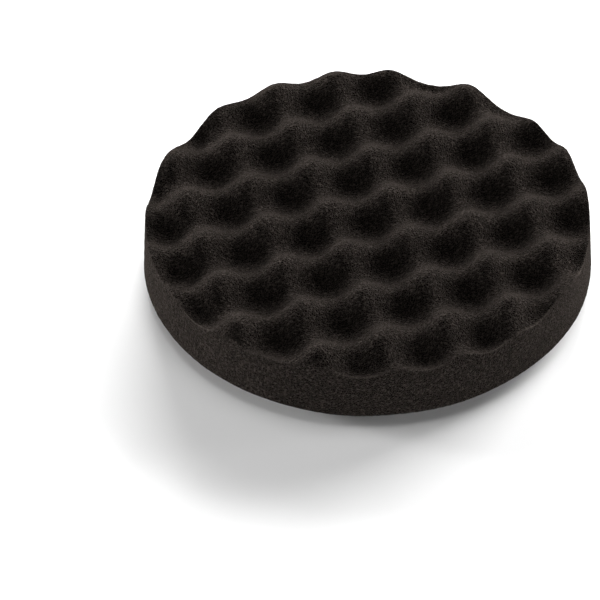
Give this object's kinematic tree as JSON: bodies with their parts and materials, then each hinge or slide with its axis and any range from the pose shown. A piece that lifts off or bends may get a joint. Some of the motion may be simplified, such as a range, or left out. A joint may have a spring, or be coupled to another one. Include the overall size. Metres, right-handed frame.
{
  "type": "polishing pad",
  "caption": "Round foam polishing pad with a waffle working face, a rounded back shoulder and a recessed hook-and-loop disc on its back.",
  "frame": {"origin": "on the pad's centre line, in the plane of the foam's back lip that the pad lies on", "axes": "+Z out of the waffle face, along the centre line that the machine turns the pad about; the rows of dimples run 19.7 degrees from +X towards +Y and the columns 16.5 degrees from +Y towards -X"},
  "size_m": [0.203, 0.203, 0.0381],
  "materials": {
    "foam": "matte open-cell polyurethane foam, warm near-black",
    "hot_melt": "satin, cloudy hot-melt adhesive",
    "ground_knit": "matte warp-knitted nylon",
    "loop_nap": "matte brushed nylon loops, bluish white"
  },
  "bodies": {
    "root": {"foam_pad": "foam", "adhesive_film": "hot_melt", "loop_backing": "ground_knit", "loop_pile": "loop_nap"}
  },
  "joints": []
}
